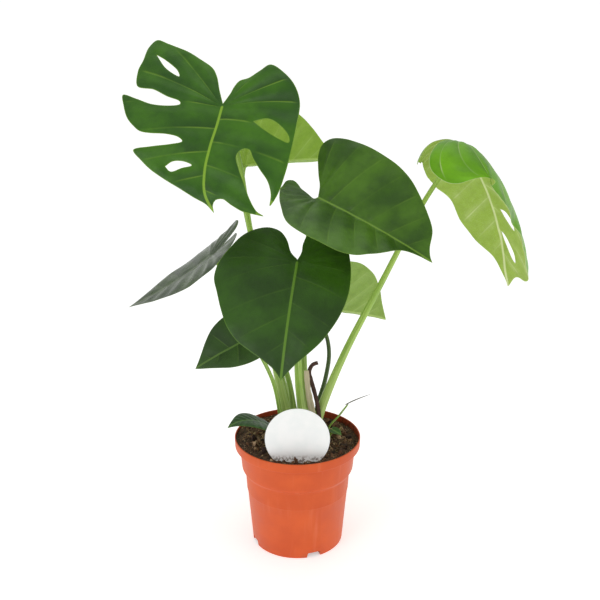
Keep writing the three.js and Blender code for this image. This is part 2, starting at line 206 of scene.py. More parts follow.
POT_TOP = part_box("pot")[1].z
LIP_RADIUS = 0.085
pot_profile = rounded([
    (0, 0.0012, 0), (0.0520, 0.0012, 0), (0.0540, 0, 0), (0.0620, 0, 0.0012),
    (0.0686, 0.0770, 0), (0.0694, 0.0782, 0.0005), (0.0710, 0.1040, 0.0030),
    (0.0755, 0.1090, 0.0025), (0.0785, 0.1410, 0.0009), (0.0846, 0.1408, 0.0016),
    (LIP_RADIUS, POT_TOP, 0.0009), (0.0833, POT_TOP, 0.0006), (0.0831, 0.1426, 0.0012),
    (0.0769, 0.1426, 0.0010), (0.0739, 0.1090, 0), (0.0694, 0.1040, 0), (0.0604, 0.0028, 0),
    (0, 0.0028, 0),
])

pot_finish, net, shader = new_material("pot_plastic")
spot = net.make("ShaderNodeTexCoord", out="Object")
height = spot.part("Z")
axis_distance = spot.vector("MULTIPLY", (1, 1, 0)).vector("LENGTH", (0, 0, 0), "Value")
clouds = spot.noise(26, 3)
flow = spot.vector("MULTIPLY", (90, 90, 9)).noise(1, 2)
speckle = spot.noise(900, 2)
shade = clouds.ramp(0.3, 0.75).blend(srgb(206, 84, 36), srgb(218, 95, 43))
shade = (flow.ramp(0.55, 0.8) * 0.35).blend(shade, srgb(226, 122, 82))
shade = (speckle.ramp(0.62, 0.75) * 0.25).blend(shade, srgb(176, 74, 46))
# Painted shade: the inner wall below the lip is painted dark red-brown where the pot's own wall shades it.
inside = axis_distance.ramp(0.0838, 0.0832) * height.ramp(0.1405, 0.1415)
shade = (inside * 0.7).blend(shade, srgb(132, 50, 34))
splash = inside * spot.noise(160, 4).ramp(0.52, 0.66) * height.ramp(0.1535, 0.1500)
foot_dust = height.ramp(0.016, 0.002) * spot.noise(120, 4).ramp(0.45, 0.75)
shade = (splash * 0.8).blend(shade, srgb(74, 50, 36))
net.feed(shader["Base Color"], (foot_dust * 0.35).blend(shade, srgb(168, 92, 64)))
net.feed(shader["Roughness"], clouds.ramp(0.3, 0.8, 0.40, 0.54) + splash * 0.25)
shader["Specular IOR Level"].default_value = 0.25
skin = spot.noise(2200, 2) * 0.35 + flow * 0.65
net.feed(shader["Normal"], bump(net, skin, 0.00025, 0.6))

pot = new_object("pot_shell", *lathe(pot_profile, 144), pot_finish)
NOTCH_ANGLES = [21, 111, 201, 291]
for angle in NOTCH_ANGLES:
    sides = [(-0.0105, -0.004), (0.0105, -0.004), (0.0088, 0.0062), (0.0076, 0.0074), (-0.0076, 0.0074),
             (-0.0088, 0.0062)]
    ends = [Vector((x, y, z)) for x in (0.051, 0.072) for y, z in sides]
    count = len(sides)
    walls = [(k, (k + 1) % count, count + (k + 1) % count, count + k) for k in range(count)]
    caps = [tuple(reversed(range(count))), tuple(range(count, 2 * count))]
    turn = Matrix.Rotation(radians(angle), 3, "Z")
    cutter = new_object("notch_cutter", [turn @ p for p in ends], walls + caps, pot_finish)
    cut = pot.modifiers.new("notch", "BOOLEAN")
    cut.object = cutter
    cut.operation = "DIFFERENCE"
    cut.solver = "EXACT"
bpy.context.view_layer.update()
pot_mesh = bpy.data.meshes.new_from_object(pot.evaluated_get(bpy.context.evaluated_depsgraph_get()))
pot.modifiers.clear()
pot.data = pot_mesh
for cutter in [o for o in bpy.data.objects if o.name.startswith("notch_cutter")]:
    bpy.data.objects.remove(cutter)
pot.data.shade_smooth()
pot.data.set_sharp_from_angle(angle=radians(40))
place(pot, "pot", "pot")


# ---- Soil ----
# Damp potting mix of peat, coir and bark, heaped towards the front left of the pot. It fills the pot,
# and its loose top is covered with bark crumbs and coir fibres.
SOIL_EDGE = 0.1484
soil_profile = [
    (0, 0.0085), (0.0600, 0.0085), (0.0686, 0.1030), (0.0730, 0.1090), (0.0762, 0.1405),
    (0.0764, 0.1432), (0.0826, 0.1432),
]
surface = [0.0826 * (1 - k / 64) for k in range(64)]
soil_points, soil_faces = lathe(
    [*soil_profile, *[(r, SOIL_EDGE) for r in surface], (0, SOIL_EDGE)], 168
)


def soil_height(x, y):
    """Level of the soil: heaped to the front left, hollow before the label, with lumps and crumbs."""
    reach = Vector((x, y)).length / 0.0826
    tilt = 0.0038 * (-x - y) / (0.0826 * 1.414)
    heap = 0.0036 * (1 - reach ** 2) + tilt
    rough = noise.fractal(Vector((x, y, 0)) * 60, 1.0, 2.0, 3)
    crumbs = noise.fractal(Vector((x, y, 0.3)) * 260, 0.9, 2.0, 3)
    hollow = 0.0125 * exp(-(x / 0.036) ** 2 - ((y + 0.078) / 0.017) ** 2)
    return heap - hollow + 0.0020 * rough + 0.0012 * crumbs


for p in soil_points:
    if p.z >= SOIL_EDGE - 1e-6:
        p.z = max(0.1436, p.z + soil_height(p.x, p.y))

soil_finish, net, shader = new_material("potting_mix")
spot = net.make("ShaderNodeTexCoord", out="Object")
crumbs = spot.noise(420, 6, 0.65)
patches = spot.noise(70, 4)
cells = net.make("ShaderNodeTexVoronoi", {"Vector": spot, "Scale": 520.0, "Randomness": 1.0})
shade = crumbs.ramp(0.35, 0.68).blend(srgb(48, 34, 25), srgb(112, 84, 60))
shade = (patches.ramp(0.5, 0.7) * 0.55).blend(shade, srgb(62, 42, 28))
shade = cells.ramp(0.16, 0.04).blend(shade, srgb(120, 92, 66))
net.feed(shader["Base Color"], shade)
net.feed(shader["Roughness"], crumbs.ramp(0.3, 0.7, 0.78, 0.98))
net.feed(shader["Normal"], bump(net, crumbs * 0.7 + patches * 0.3, 0.0022))
soil = new_object("potting_mix", soil_points, soil_faces, soil_finish)
soil.data.shade_smooth()
place(soil, "soil", "soil")


def new_tree(name, **sockets):
    """A Geometry Nodes tree with a geometry in and out and the named inputs, and its net."""
    tree = bpy.data.node_groups.new(name, "GeometryNodeTree")
    tree.interface.new_socket("Geometry", in_out="INPUT", socket_type="NodeSocketGeometry")
    for socket, kind in sockets.items():
        tree.interface.new_socket(socket, in_out="INPUT", socket_type="NodeSocket" + kind)
    tree.interface.new_socket("Geometry", in_out="OUTPUT", socket_type="NodeSocketGeometry")
    group = tree.nodes.new("NodeGroupInput")
    return Net(tree), {socket.name: Net(tree, socket) for socket in group.outputs if socket.name}


def end_tree(net, geometry, finish):
    """Ends a tree in one plain mesh that carries its material."""
    whole = net.make("GeometryNodeRealizeInstances", {"Geometry": geometry})
    coloured = net.make("GeometryNodeSetMaterial", {"Geometry": whole, "Material": finish})
    net.feed(net.tree.nodes.new("NodeGroupOutput").inputs["Geometry"], coloured)


def run_tree(piece, net, **values):
    """Runs a tree once on a piece, which keeps the result as a plain mesh."""
    modifier = piece.modifiers.new("nodes", "NODES")
    modifier.node_group = net.tree
    for item in net.tree.interface.items_tree:
        if item.in_out == "INPUT" and item.name in values:
            modifier[item.identifier] = values[item.name]
    bpy.context.view_layer.update()
    graph = bpy.context.evaluated_depsgraph_get()
    made = bpy.data.meshes.new_from_object(
        piece.evaluated_get(graph), preserve_all_data_layers=True, depsgraph=graph)
    piece.modifiers.remove(modifier)
    piece.data = made
    return piece


def top_of_soil(net, reach):
    """Where the soil's loose surface is, up to a distance from the pot's axis."""
    where = net.make("GeometryNodeInputPosition")
    radius = where.vector("MULTIPLY", (1, 1, 0)).vector("LENGTH", (0, 0, 0), "Value")
    return net.math("LESS_THAN", radius, reach) * net.math("GREATER_THAN", where.part("Z"), 0.1435)


# Crumbs of bark: rough lumps strewn over the soil, each turned and sized at random.
net, given = new_tree("strew_crumbs", Density="Float", Smallest="Float", Largest="Float", Reach="Float",
                      Detail="Int", Seed="Int", Finish="Material")
on_top = top_of_soil(net, given["Reach"])
spots = net.make("GeometryNodeDistributePointsOnFaces",
                 {"Mesh": given["Geometry"], "Selection": on_top, "Density": given["Density"],
                  "Seed": given["Seed"]})
lump = net.make("GeometryNodeMeshIcoSphere", {"Radius": 0.5, "Subdivisions": given["Detail"]})
dents = net.make("ShaderNodeTexNoise", {"Scale": 2.4, "Detail": 2.0}, out="Color")
dents = dents.vector("SUBTRACT", (0.5, 0.5, 0.5)).vector("MULTIPLY", (0.9, 0.9, 0.9))
lump = net.make("GeometryNodeSetPosition", {"Geometry": lump, "Offset": dents})
anyway = {"data_type": "FLOAT_VECTOR"}
turn = net.make("FunctionNodeRandomValue", {0: (0, 0, 0), 1: (6.28, 6.28, 6.28), "Seed": 3}, **anyway)
stretch = net.make("FunctionNodeRandomValue", {0: (0.5, 0.35, 0.25), 1: (1.6, 0.9, 0.6), "Seed": 5},
                   **anyway)
girth = net.make("FunctionNodeRandomValue", {2: 0.0, 3: 1.0, "Seed": 7}, out=1) ** 3
size = given["Smallest"] + (given["Largest"] - given["Smallest"]) * girth
shape = net.make("ShaderNodeVectorMath", {0: stretch, "Scale": size}, operation="SCALE")
strewn = net.make("GeometryNodeInstanceOnPoints",
                  {"Points": spots, "Instance": lump, "Rotation": turn, "Scale": shape})
tint = net.make("FunctionNodeRandomValue", {2: 0.0, 3: 1.0, "Seed": 11}, out=1)
strewn = net.make("GeometryNodeStoreNamedAttribute",
                  {"Geometry": strewn, "Name": "tint", "Value": tint}, domain="INSTANCE")
end_tree(net, strewn, given["Finish"])
crumb_net = net

bark, net, shader = new_material("bark_crumbs")
spot = net.make("ShaderNodeTexCoord", out="Object")
tint = net.make("ShaderNodeAttribute", out="Fac", attribute_name="tint")
grain = spot.noise(900, 4, 0.6)
shade = tint.ramp(0.1, 0.75).blend(srgb(56, 35, 25), srgb(146, 102, 68))
shade = tint.ramp(0.76, 0.96).blend(shade, srgb(216, 182, 142))
net.feed(shader["Base Color"], (grain.ramp(0.35, 0.7) * 0.7).blend(shade, srgb(40, 27, 20)))
net.feed(shader["Roughness"], grain.ramp(0.3, 0.7, 0.7, 0.95))
net.feed(shader["Normal"], bump(net, grain, 0.0006))

CRUMB_SETS = [
    ("bark_pieces", 36000, 0.0034, 0.0135, 0.0735, 2, 4),
    ("bark_dust", 170000, 0.0012, 0.0036, 0.0805, 1, 9),
]
for name, density, smallest, largest, reach, detail, seed in CRUMB_SETS:
    crumbs = new_object(name, soil_points, soil_faces, bark)
    run_tree(crumbs, crumb_net, Density=float(density), Smallest=smallest, Largest=largest,
             Reach=reach, Detail=detail, Seed=seed, Finish=bark)
    crumbs.data.shade_flat()
    place(crumbs, "soil")

# Coir: short bent fibres lying on the soil, paler than the bark.
net, given = new_tree("strew_fibres", Density="Float", Thickness="Float", Finish="Material")
on_top = top_of_soil(net, 0.072)
spots = net.make("GeometryNodeDistributePointsOnFaces",
                 {"Mesh": given["Geometry"], "Selection": on_top, "Density": given["Density"],
                  "Seed": 21})
bow = net.make("GeometryNodeCurveQuadraticBezier",
               {"Resolution": 5, "Start": (-0.5, 0, 0), "Middle": (0.1, 0.35, 0.28), "End": (0.5, 0, 0)})
ring = net.make("GeometryNodeCurvePrimitiveCircle", {"Resolution": 4, "Radius": given["Thickness"]})
strand = net.make("GeometryNodeCurveToMesh", {"Curve": bow, "Profile Curve": ring, "Fill Caps": True})
spin = net.make("FunctionNodeRandomValue", {0: (-0.25, -0.25, 0), 1: (0.25, 0.25, 6.28), "Seed": 2},
                data_type="FLOAT_VECTOR")
length = net.make("FunctionNodeRandomValue", {2: 0.006, 3: 0.017, "Seed": 8}, out=1)
strewn = net.make("GeometryNodeInstanceOnPoints",
                  {"Points": spots, "Instance": strand, "Rotation": spin, "Scale": length})
tint = net.make("FunctionNodeRandomValue", {2: 0.0, 3: 1.0, "Seed": 12}, out=1)
strewn = net.make("GeometryNodeStoreNamedAttribute",
                  {"Geometry": strewn, "Name": "tint", "Value": tint}, domain="INSTANCE")
end_tree(net, strewn, given["Finish"])
fibre_net = net

coir, net, shader = new_material("coir_fibres")
tint = net.make("ShaderNodeAttribute", out="Fac", attribute_name="tint")
streaks = net.make("ShaderNodeTexCoord", out="Object").noise(700, 3)
shade = tint.ramp(0.0, 0.8).blend(srgb(92, 62, 40), srgb(196, 164, 120))
net.feed(shader["Base Color"], (streaks * 0.5).blend(shade, srgb(70, 46, 30)))
net.feed(shader["Roughness"], streaks.ramp(0.3, 0.7, 0.7, 0.9))
fibres = new_object("coir_fibres", soil_points, soil_faces, coir)
run_tree(fibres, fibre_net, Density=16000.0, Thickness=0.022, Finish=coir)
place(fibres, "soil")


# ---- Care label ----
# A round sheet of white polypropylene on a tapering spike that is pushed into the soil at the front.
# It is plain, with no print.
LABEL_RADIUS = 0.042
LABEL_THICKNESS = 0.0011
LABEL_SINK = 0.0095
SPIKE_HALF = 0.007
SPIKE_LENGTH = 0.038
LEAN = radians(4)
label_foot = Vector((0, -0.0626, 0.146))

outline = []
neck = np.arcsin(SPIKE_HALF / LABEL_RADIUS)
for k in range(121):
    angle = neck - pi / 2 + (2 * pi - 2 * neck) * k / 120
    outline.append((LABEL_RADIUS * cos(angle), LABEL_RADIUS * (1 + sin(angle))))
outline += [(-SPIKE_HALF, -0.6 * SPIKE_LENGTH), (0, -SPIKE_LENGTH), (SPIKE_HALF, -0.6 * SPIKE_LENGTH)]
bevels = [(0.00025, -0.5), (0, -0.34), (0, 0.34), (0.00025, 0.5)]
label_points = []
for inset, share in bevels:
    for x, y in outline:
        shrink = 1 - inset / LABEL_RADIUS
        flat = Vector((x * shrink, LABEL_RADIUS + (y - LABEL_RADIUS) * shrink - LABEL_SINK,
                       share * LABEL_THICKNESS))
        label_points.append(label_foot + Matrix.Rotation(pi / 2 - LEAN, 3, "X") @ flat)
count = len(outline)
label_faces = [tuple(reversed(range(count))), tuple(range(3 * count, 4 * count))]
for level in range(3):
    for k in range(count):
        low, after = level * count + k, level * count + (k + 1) % count
        label_faces.append((low, after, after + count, low + count))

label_finish, net, shader = new_material("label_sheet")
spot = net.make("ShaderNodeTexCoord", out="Object")
haze = spot.noise(60, 3)
dirt = spot.part("Z").ramp(0.158, 0.149) * spot.noise(300, 4).ramp(0.42, 0.62)
shade = haze.ramp(0.3, 0.7).blend(srgb(250, 250, 249), srgb(244, 246, 245))
net.feed(shader["Base Color"], (dirt * 0.8).blend(shade, srgb(96, 72, 52)))
net.feed(shader["Roughness"], haze.ramp(0.3, 0.7, 0.28, 0.36))
net.feed(shader["Normal"], bump(net, spot.noise(500, 2), 0.00004, 0.4))
label = new_object("label_sheet", label_points, label_faces, label_finish)
label.data.shade_smooth()
label.data.set_sharp_from_angle(angle=radians(30))
place(label, "plant_label", "plant_label")


# ---- Upper left leaf ----
# The oldest and only split blade, on the longest stalk at the back. It hangs face-on, with deep cuts
# between fingers, three holes, and a thick yellow-green midrib. Leaves are drawn flat in millimetres.
SOIL_LEVEL = 146
DROOP_REACH = 160
RIDGE_ROUNDING = 5
BLADE_HALF = 0.4
LATTICE = 2.6


def smooth_line(points, spacing):
    """A centripetal Catmull-Rom curve through points, as an array of points about spacing apart."""
    knots = np.array(points, float)
    knots = np.vstack([2 * knots[0] - knots[1], knots, 2 * knots[-1] - knots[-2]])
    line = []
    for p0, p1, p2, p3 in zip(knots, knots[1:], knots[2:], knots[3:]):
        d0, d1, d2 = (np.linalg.norm(b - a) ** 0.5 for a, b in ((p0, p1), (p1, p2), (p2, p3)))
        leave = ((p1 - p0) / d0 - (p2 - p0) / (d0 + d1) + (p2 - p1) / d1) * d1
        arrive = ((p2 - p1) / d1 - (p3 - p1) / (d1 + d2) + (p3 - p2) / d2) * d1
        steps = max(1, round(np.linalg.norm(p2 - p1) / spacing))
        for t in np.arange(steps) / steps:
            line.append(p1 * (2 * t ** 3 - 3 * t ** 2 + 1) + leave * (t ** 3 - 2 * t ** 2 + t)
                        + p2 * (3 * t ** 2 - 2 * t ** 3) + arrive * (t ** 3 - t ** 2))
    return np.array([*line, knots[-2]])


def within(points, loop):
    """Which points lie inside a closed loop."""
    x, y = points.T
    odd = np.zeros(len(points), bool)
    for (ax, ay), (bx, by) in zip(loop, np.roll(loop, -1, 0)):
        crosses = (ay > y) != (by > y)
        odd ^= crosses & (x < ax + (y - ay) * (bx - ax) / (by - ay if by != ay else 1))
    return odd


def distance_to(points, line):
    """Distance from each point to a line of points."""
    nearest = np.full(len(points), 1e6)
    for a, b in zip(line, line[1:]):
        share = np.clip((points - a) @ (b - a) / max((b - a) @ (b - a), 1e-9), 0, 1)
        nearest = np.minimum(nearest, np.linalg.norm(points - a - share[:, None] * (b - a), axis=1))
    return nearest


def heart(length, left_width, right_width):
    """A whole heart-shaped blade, from radii of its margin at angles round from its tip."""
    radii = [0.9, 0.81, 0.725, 0.665, 0.62, 0.59, 0.565, 0.5, 0.38, 0.2]
    angles = [radians(a) for a in (6, 14, 28, 48, 72, 98, 122, 144, 160, 172)]
    right, left = ([(width * share * length * sin(a), share * length * cos(a))
                    for share, a in zip(radii, angles)][::-1] for width in (right_width, -left_width))
    return {"notch": (0, -0.02 * length), "tip": (0, length), "left": left, "right": right}


def flat_sheet(leaf, spacing):
    """Points and triangles of a flat blade, with rows of points along its midrib."""
    halves = [smooth_line([leaf["notch"], *leaf[half], leaf["tip"]], spacing)
              for half in ("right", "left")]
    loops = [np.vstack([halves[0], halves[1][-2:0:-1]])]
    loops += [smooth_line([*hole, hole[0]], spacing)[:-1] for hole in leaf.get("holes", [])]
    midrib = smooth_line(leaf.get("midrib", [(0, 0), leaf["tip"]]), spacing)
    low, high = loops[0].min(0), loops[0].max(0)
    rows = np.arange(low[1], high[1], spacing * 0.866)
    columns = np.arange(low[0], high[0], spacing)
    lattice = np.array([(x + spacing / 2 * (i % 2), y) for i, y in enumerate(rows) for x in columns])
    lattice = lattice[distance_to(lattice, midrib) > 1.6 * spacing]
    beside = [midrib + (offset * spacing, 0) for offset in (-1.2, -0.65, -0.3, 0, 0.3, 0.65, 1.2)]
    inner = np.vstack([*beside, lattice])
    keep = within(inner, loops[0])
    for hole in loops[1:]:
        keep &= ~within(inner, hole)
    for loop in loops:
        keep &= distance_to(inner, np.vstack([loop, loop[:1]])) > 0.55 * spacing
    points, edges = [], []
    for loop in loops:
        first = len(points)
        points += [Vector(p) for p in loop]
        edges += [(first + k, first + (k + 1) % len(loop)) for k in range(len(loop))]
    middle = 3 * len(midrib) + np.arange(len(midrib))
    order = np.cumsum(keep) - 1 + len(points)
    edges += [(int(order[a]), int(order[b])) for a, b in zip(middle, middle[1:])
              if keep[a] and keep[b]]
    points += [Vector(p) for p in inner[keep]]
    made = delaunay_2d_cdt(points, edges, [], 0, 1e-4)
    flat = np.array([tuple(p) for p in made[0]])
    faces = np.array(made[2])
    centres = flat[faces].mean(1)
    solid = within(centres, loops[0])
    for hole in loops[1:]:
        solid &= ~within(centres, hole)
    return flat, faces[solid], loops, midrib


def bend(flat, leaf):
    """Where the points of a flat blade go when it droops, folds and curls."""
    x, y = flat.T
    side = (x > 0).astype(int)
    ahead = np.clip(y, 1e-9, None)
    along, up = np.zeros_like(x), np.zeros_like(x)
    droop = radians(leaf["droop"])
    steps = 24
    for i in range(steps):
        middle = -droop * (ahead * (i + 0.5) / steps / DROOP_REACH) ** leaf["power"]
        along += np.cos(middle) * ahead / steps
        up += np.sin(middle) * ahead / steps
    slope = -droop * (ahead / DROOP_REACH) ** leaf["power"]
    rate = radians(leaf["lobe_bend"]) / 100
    back = -rate * y
    along = np.where(y >= 0, along, -np.sin(back) / rate)
    up = np.where(y >= 0, up, -(1 - np.cos(back)) / rate)
    slope = np.where(y >= 0, slope, back)
    turn = np.radians(np.array(leaf["curl"], float)[side]) / 100
    lift = np.radians(np.array(leaf["fold"], float)[side])
    out = np.sign(x) * (np.sin(lift + turn * np.abs(x)) - np.sin(lift)) / turn
    ridge = np.hypot(x, RIDGE_ROUNDING)
    rise = (np.cos(lift + turn * RIDGE_ROUNDING) - np.cos(lift + turn * ridge)) / turn
    return np.stack([out, along - rise * np.sin(slope), up + rise * np.cos(slope)], 1)


def blade_axes(heading, pitch, roll):
    """The directions across a blade, along its midrib, and up out of its upper face."""
    h, p, r = radians(heading), radians(pitch), radians(roll)
    along = np.array([cos(h) * cos(p), sin(h) * cos(p), sin(p)])
    level = np.array([sin(h), -cos(h), 0])
    across = level * cos(r) + np.cross(along, level) * sin(r)
    return np.array([across, along, np.cross(across, along)])


def side_veins(flat, midrib, leaf):
    """The side vein that each point is on: whole numbers lie on veins, halves midway between."""
    order = np.argsort(midrib[:, 1])
    across = np.abs(flat[:, 0] - np.interp(flat[:, 1], midrib[order, 1], midrib[order, 0]))
    base, tip, spacing, arch = leaf.get("veins", (84, 46, 26, 0.0016))
    length = leaf["tip"][1]
    ahead = flat[:, 1] - arch * across ** 2
    low, high = np.zeros(len(flat)), np.full(len(flat), length * 1.5)
    for _ in range(30):
        middle = (low + high) / 2
        angle = np.radians(base + (tip - base) * np.minimum(middle / length, 1))
        short = middle + across / np.tan(angle) < ahead
        low, high = np.where(short, middle, low), np.where(short, high, middle)
    bearing = np.degrees(np.arctan2(across, ahead))
    return np.where(bearing > base, (base - bearing) / 21, (low + high) / 2 / spacing)


RELAX_PASSES = 24
RELAX_SHARE = 0.8


def relax(layer, faces, share):
    """Evens out the points of a sheet, each by its share, towards the mean of its neighbours."""
    pairs = np.vstack([faces[:, [0, 1]], faces[:, [1, 2]], faces[:, [2, 0]]])
    pairs = np.vstack([pairs, pairs[:, ::-1]])
    count = np.bincount(pairs[:, 0], minlength=len(layer))[:, None]
    for _ in range(RELAX_PASSES):
        total = np.zeros_like(layer)
        np.add.at(total, pairs[:, 0], layer[pairs[:, 1]])
        layer = layer + share[:, None] * (total / count - layer)
    return layer


def blade_mesh(name, leaf, finish):
    """A closed blade with a raised midrib, quilting between its side veins, and wavy margins."""
    length = leaf["tip"][1]
    spacing = min(LATTICE, length / 40)
    flat, faces, loops, midrib = flat_sheet(leaf, spacing)
    rib = distance_to(flat, midrib)
    edge = np.min([distance_to(flat, np.vstack([loop, loop[:1]])) for loop in loops], 0)
    veins = side_veins(flat, midrib, leaf)
    share = np.clip(flat[:, 1] / length, 0, 1)
    size = min(1.0, length / 120)
    quilt = 0.5 - 0.5 * np.cos(2 * pi * veins)
    quilt *= np.clip(rib / (9 * size), 0, 1) * np.clip(edge / (9 * size), 0, 1)
    seed = sum(map(ord, name)) % 97
    waves = np.array([noise.noise(Vector((x / 34, y / 34, seed))) for x, y in flat])
    waves *= np.exp(-edge / (13 * size))
    lift = size * (leaf.get("quilt", 1.3) * quilt + leaf.get("wave", 2.6) * waves)
    ridge = size * (1 - share) ** 0.6 * np.exp(-(rib / (1.9 * size)) ** 2)
    half = BLADE_HALF * min(1.0, length / 70) * (0.55 + 0.45 * np.clip(edge / 2, 0, 1))
    step = 0.5
    shape = bend(flat, leaf)
    sideways = bend(flat + (step, 0), leaf) - bend(flat - (step, 0), leaf)
    onward = bend(flat + (0, step), leaf) - bend(flat - (0, step), leaf)
    up = np.cross(sideways, onward)
    up /= np.linalg.norm(up, axis=1)[:, None]
    upper = shape + up * (lift + half + 0.5 * ridge)[:, None]
    lower = shape + up * (lift - half - 1.9 * ridge)[:, None]
    if "pinch" in leaf:
        # A tight fold pinches the lobes beside the join: from near to far across, and reach along.
        near, far, reach = leaf["pinch"]
        pinched = np.clip((np.abs(flat[:, 0]) - near) / (far - near), 0, 1)
        pinched *= RELAX_SHARE * np.exp(-(flat[:, 1] / reach) ** 2)
        upper, lower = (relax(layer, faces, pinched) for layer in (upper, lower))
    axes = blade_axes(leaf["heading"], leaf["pitch"], leaf["roll"])
    base = np.array(leaf["join"], float) + (0, 0, SOIL_LEVEL)
    points = (np.vstack([upper, lower]) @ axes + base) * MM
    count = len(flat)
    rim = {}
    for a, b, c in faces:
        for start, end in ((a, b), (b, c), (c, a)):
            rim[start, end] = (end, start) not in rim
            if (end, start) in rim:
                rim[end, start] = rim[start, end] = False
    border = [edge for edge, single in rim.items() if single]
    walls = [(a, a + count, b + count, b) for a, b in border]
    everything = [*faces.tolist(), *(faces[:, ::-1] + count).tolist(), *walls]
    blade = new_object("blade_" + name, points, everything, finish)
    mesh = blade.data
    mesh.shade_smooth()
    pairs = {frozenset(pair) for pair in border}
    sharp = [frozenset(k % count for k in e.vertices) in pairs and
             (e.vertices[0] < count) == (e.vertices[1] < count) for e in mesh.edges]
    mesh.attributes.new("sharp_edge", "BOOLEAN", "EDGE").data.foreach_set("value", sharp)
    corners = np.zeros(len(mesh.loops), np.int32)
    mesh.loops.foreach_get("vertex_index", corners)
    owners = np.repeat(np.arange(len(mesh.polygons)), [len(p.vertices) for p in mesh.polygons])
    order = np.argsort(midrib[:, 1])
    crest = np.interp(flat[:, 1], midrib[order, 1], midrib[order, 0])
    lean = np.array([np.mean([(flat[v % count, 0] - crest[v % count]) for v in p.vertices])
                     for p in mesh.polygons])
    stagger = np.where(lean[owners] < 0, 0.42, 0.0)
    layers = {"vein": ("CORNER", veins[corners % count] + stagger),
              "rib": ("POINT", np.tile(rib, 2)), "edge": ("POINT", np.tile(edge, 2)),
              "under": ("POINT", np.repeat([0.0, 1.0], count))}
    for layer, (domain, values) in layers.items():
        mesh.attributes.new(layer, "FLOAT", domain).data.foreach_set("value", values)
    across = flat[corners % count] / 400 + 0.5
    mesh.uv_layers.new(name="flat").data.foreach_set("uv", across.ravel())
    return blade


def leaf_finish(name, top, glow, under, vein, gloss=0.36, sheen=0.14, panels=1.0):
    """Leaf skin: waxy above, matt and paler below, with fine pale veins and a light margin. Above, each
    panel between two side veins carries painted light after one vein and painted shade before the next.
    """
    made, net, shader = new_material(name)
    flat = net.make("ShaderNodeUVMap", uv_map="flat").vector("MULTIPLY", (400, 400, 0))
    number, rib, edge, below = (net.make("ShaderNodeAttribute", out="Fac", attribute_name=layer)
                                for layer in ("vein", "rib", "edge", "under"))
    panel = net.math("FRACT", number + 40.0)
    nearness = net.math("ABSOLUTE", panel * 2.0 - 1.0)
    inland = edge.ramp(0.5, 13)
    faint = flat.noise(0.025, 2).ramp(0.35, 0.65, 0.25, 1.0) * panels
    line = nearness.ramp(0.90, 1.0) * inland * faint
    band = nearness.ramp(0.3, 0.97) * inland * faint
    crest = rib.ramp(2.1, 0.9)
    cells = net.make("ShaderNodeTexVoronoi", {"Vector": flat, "Scale": 0.42}, feature="DISTANCE_TO_EDGE")
    web = cells.ramp(0.10, 0.0)
    broad = flat.noise(0.020, 3)
    mottle = flat.noise(0.11, 4, 0.6)
    fine = flat.noise(1.6, 2)
    upper = broad.ramp(0.32, 0.72).blend(srgb(*top), srgb(*glow))
    darker = tuple(0.62 * c for c in srgb(*top)[:3]) + (1.0,)
    upper = (mottle.ramp(0.45, 0.72) * 0.22).blend(upper, darker)
    # Painted shade and painted light: each panel between two side veins is painted darker towards the next
    # vein and lighter just after the last, standing in for the light and shade of the quilted folds.
    upper = (panel.ramp(0.45, 0.98) * inland * faint * 0.55).blend(upper, darker)
    upper = (panel.ramp(0.6, 0.05) * inland * faint * 0.50).blend(upper, srgb(*glow))
    upper = (web * 0.10 + fine.ramp(0.6, 0.8) * 0.10).blend(upper, srgb(*glow))
    upper = (line * 0.40).blend(upper, srgb(*vein))
    upper = (crest * 0.85).blend(upper, srgb(*vein))
    pale = tuple(0.90 * c for c in srgb(*under)[:3]) + (1.0,)
    lower = mottle.ramp(0.35, 0.68).blend(srgb(*under), pale)
    lower = (band * 0.25 + web * 0.14).blend(lower, srgb(*vein))
    lower = (line * 0.6).blend(lower, srgb(*vein))
    lower = rib.ramp(2.8, 1.5).blend(lower, srgb(*vein))
    skin = below.ramp(0.4, 0.6).blend(upper, lower)
    skin = (edge.ramp(1.0, 0.25) * 0.6).blend(skin, srgb(*vein))
    net.feed(shader["Base Color"], skin)
    worn = mottle.ramp(0.35, 0.7, gloss - 0.03, gloss + 0.10) + line * 0.06
    net.feed(shader["Roughness"], worn * (1.0 - below) + below * 0.58)
    net.feed(shader["Coat Weight"], (1.0 - below) * sheen)
    shader["Coat Roughness"].default_value = 0.28
    shader["Specular IOR Level"].default_value = 0.22
    groove = 1.0 - line * 0.75 - crest * 0.2 - web * 0.12
    raised = line * 0.8 + web * 0.25 + nearness.ramp(0.6, 1.0) * 0.3
    relief = groove * (1.0 - below) + raised * below
    net.feed(shader["Normal"], bump(net, relief * 0.8 + fine * 0.12 + mottle * 0.12, 0.0009, 0.75))
    return made


stalk_net, given = new_tree("stalk", Sides="Int", Flatness="Float", Groove="Float", Finish="Material")
spine = stalk_net.make("GeometryNodeMeshToCurve", {"Mesh": given["Geometry"]})
ahead = stalk_net.make("GeometryNodeInputTangent")
sideways = stalk_net.make("ShaderNodeVectorMath", {0: (0, 1, 0), 1: ahead}, operation="CROSS_PRODUCT")
spine = stalk_net.make("GeometryNodeSetCurveNormal", {"Curve": spine, "Normal": sideways}, mode="FREE")
ring = stalk_net.make("GeometryNodeCurvePrimitiveCircle", {"Resolution": given["Sides"], "Radius": 1.0})
place_on = stalk_net.make("GeometryNodeInputPosition")
ring = stalk_net.make("GeometryNodeStoreNamedAttribute",
                      {"Geometry": ring, "Name": "ring", "Value": place_on}, data_type="FLOAT_VECTOR")
high = place_on.part("Y")
press = stalk_net.make("ShaderNodeCombineXYZ", {1: high.ramp(0.55, 1.0) * given["Groove"] * -1.0})
ring = stalk_net.make("GeometryNodeSetPosition", {"Geometry": ring, "Offset": press})
squash = stalk_net.make("ShaderNodeCombineXYZ", {0: 1.0, 1: given["Flatness"], 2: 1.0})
ring = stalk_net.make("GeometryNodeTransform", {"Geometry": ring, "Scale": squash})
